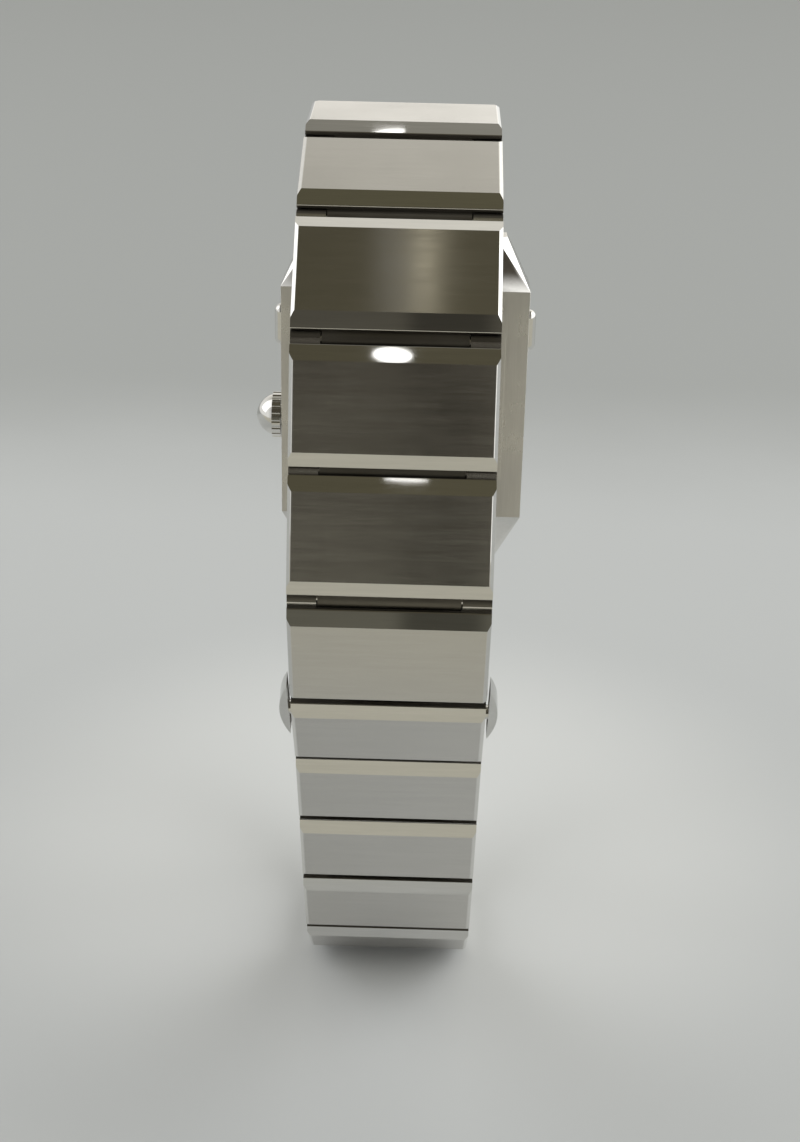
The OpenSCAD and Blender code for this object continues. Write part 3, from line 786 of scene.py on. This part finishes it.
@dataclass
class Room:
    """The light from all round, with bright sides and a dark card behind the camera.

    A stop of the ring is an angle about X in degrees, where 90 is overhead and 0 is behind the camera, and a
    colour. A card's span says where it is full and where it ends.
    """

    backdrop: Triple
    ring: tuple[tuple[float, Triple], ...] = (
        (-180, (0.62, 0.63, 0.62)), (-90, (0.40, 0.40, 0.38)), (-55, (0.13, 0.12, 0.10)),
        (-6, (0.15, 0.145, 0.115)), (3, (0.105, 0.099, 0.078)), (10, (0.066, 0.058, 0.049)),
        (50, (0.09, 0.08, 0.055)), (60, (0.12, 0.11, 0.07)), (70, (0.10, 0.09, 0.06)), (80, (0.11, 0.10, 0.07)),
        (100, (0.20, 0.19, 0.16)), (112, (0.50, 0.49, 0.44)), (124, (0.80, 0.78, 0.71)), (140, (1.02, 1.0, 0.93)),
        (158, (1.2, 1.17, 1.1)), (170, (1.2, 1.17, 1.1)), (180, (0.90, 0.91, 0.88)))
    side_light: Triple = (1.3, 1.3, 1.27)
    side_span: Span = (0.35, 0.8)
    lean_span: Span = (-0.5, 0.5)
    lean: Span = (1.25, 0.75)
    card_middle: float = -0.011
    card_width: Span = (0.034 / 3, 0.034)
    card_height: Span = (8.0, 16.0)
    card_shade: float = 0.5

    def ramp(self, graph: NodeGraph, angle: Socket) -> Socket:
        """Colours the ring of light.

        Args:
            graph: The room's nodes.
            angle: The angle about X in radians.

        Returns:
            The colour's socket.
        """
        ramp = graph.add("ShaderNodeValToRGB", graph.ranged(angle, (-math.pi, math.pi), SHARE))
        elements = ramp.color_ramp.elements
        for degrees, _ in self.ring[1:-1]:
            elements.new((degrees + 180.0) / 360.0)
        for element, (_, colour) in zip(elements, self.ring):
            element.color = (*colour, 1.0)
        return ramp.outputs["Color"]

    def shade(self, graph: NodeGraph, sideways: Socket, angle: Socket) -> Socket:
        """Makes the light from -X stronger than from +X, and darkens the card behind the camera.

        Args:
            graph: The room's nodes.
            sideways: The direction's share along X.
            angle: The angle about X in radians.

        Returns:
            The light's strength.
        """
        lean = graph.ranged(sideways, self.lean_span, self.lean, smooth=True)
        turned = graph.calculate("ABSOLUTE", graph.calculate("DEGREES", angle))
        aside = graph.calculate("ABSOLUTE", graph.calculate("SUBTRACT", sideways, self.card_middle))
        wide = graph.ranged(aside, self.card_width, (1.0, 0.0), smooth=True)
        high = graph.ranged(turned, self.card_height, (1.0, 0.0), smooth=True)
        card = graph.ranged(graph.calculate("MULTIPLY", wide, high), SHARE, (1.0, self.card_shade), smooth=True)
        return graph.calculate("MULTIPLY", lean, card)

    def build(self) -> None:
        """Lights the room, which the camera sees as the even backdrop."""
        world = bpy.data.worlds.new("studio_room")
        bpy.context.scene.world = world
        world.use_nodes = True
        graph = NodeGraph(world.node_tree)
        direction = graph.add("ShaderNodeTexCoord").outputs["Generated"]
        split = graph.add("ShaderNodeSeparateXYZ", direction)
        sideways = split.outputs[0]
        angle = graph.calculate("ARCTAN2", split.outputs[2], split.outputs[1])
        side = graph.ranged(graph.calculate("ABSOLUTE", sideways), self.side_span, SHARE, smooth=True)
        lit = graph.blend(side, self.ramp(graph, angle), self.side_light)
        camera_ray = graph.add("ShaderNodeLightPath").outputs["Is Camera Ray"]
        seen = graph.blend(camera_ray, lit, self.backdrop)
        level = graph.blend(camera_ray, self.shade(graph, sideways, angle), 1.0, "FLOAT")
        background = graph.add("ShaderNodeBackground", seen, level)
        graph.add("ShaderNodeOutputWorld", background.outputs[0])


@dataclass
class PhotoCamera:
    """The camera, where the photograph was taken. The angles are in degrees."""

    place: Triple = (-2.6 * MM, 181.4 * MM, 60.3 * MM)
    fall: float = 23.45
    roll: float = 1.24
    yaw: float = 0.8
    lens: float = 58.3
    sensor_width: float = 36.0
    clip_start: float = 10 * MM

    def build(self) -> None:
        """Sets the scene's camera."""
        data = bpy.data.cameras.new("photo_camera")
        data.lens = self.lens
        data.sensor_width = self.sensor_width
        data.sensor_fit = "AUTO"
        data.clip_start = self.clip_start
        camera = bpy.data.objects.new("photo_camera", data)
        fall = math.radians(self.fall)
        yaw = math.radians(self.yaw)
        forward = Vector((math.sin(yaw) * math.cos(fall), -math.cos(yaw) * math.cos(fall), -math.sin(fall)))
        roll = Matrix.Rotation(math.radians(self.roll), 4, "Z")
        turn = forward.to_track_quat("-Z", "Y").to_matrix().to_4x4() @ roll
        camera.matrix_world = Matrix.Translation(self.place) @ turn
        bpy.context.scene.collection.objects.link(camera)
        bpy.context.scene.camera = camera


@dataclass
class Studio:
    """The pale floor and backdrop, the light and the camera."""

    camera: PhotoCamera = field(default_factory=PhotoCamera)
    floor: Floor = field(default_factory=Floor)
    lamps: tuple[Lamp, ...] = (
        Lamp("side_softbox", (-0.75, -0.05, 0.55), (0.8, 0.8), 0.9),
        Lamp("side_softbox", (0.75, -0.05, 0.55), (0.8, 0.8), 0.9),
        Lamp("window_lamp", (0.0102, 0.2329, 0.4872), (0.0138, 0.0055), 1.9),
        Lamp("window_strip", (-0.0005, 0.2153, 0.4952), (0.010, 0.012), 5.7, (1.0, 0.93, 0.72)),
        Lamp("window_sliver", (0.0045, 0.2597, 0.4734), (0.016, 0.0016), 1.5),
        Lamp("ceiling_lamp", (0.0140, -0.0946, 0.5316), (0.0120, 0.0024), 2.0))

    def build(self) -> None:
        """Makes the studio."""
        self.camera.build()
        self.floor.build()
        Room(self.floor.far_paper).build()
        for lamp in self.lamps:
            lamp.hang()
        bpy.context.scene.view_settings.view_transform = "Standard"


def main() -> None:
    """Builds the studio and dresses the watch."""
    logging.basicConfig(level=logging.INFO, format="%(message)s")
    Studio().build()
    finishes = Finishes()
    CarriedNodes().build(finishes)
    builders: list[Callable[[Finishes], None]] = [Bracelet().build, Case().build, Clasp().build]
    for build in builders:
        build(finishes)


if __name__ == "__main__":
    main()
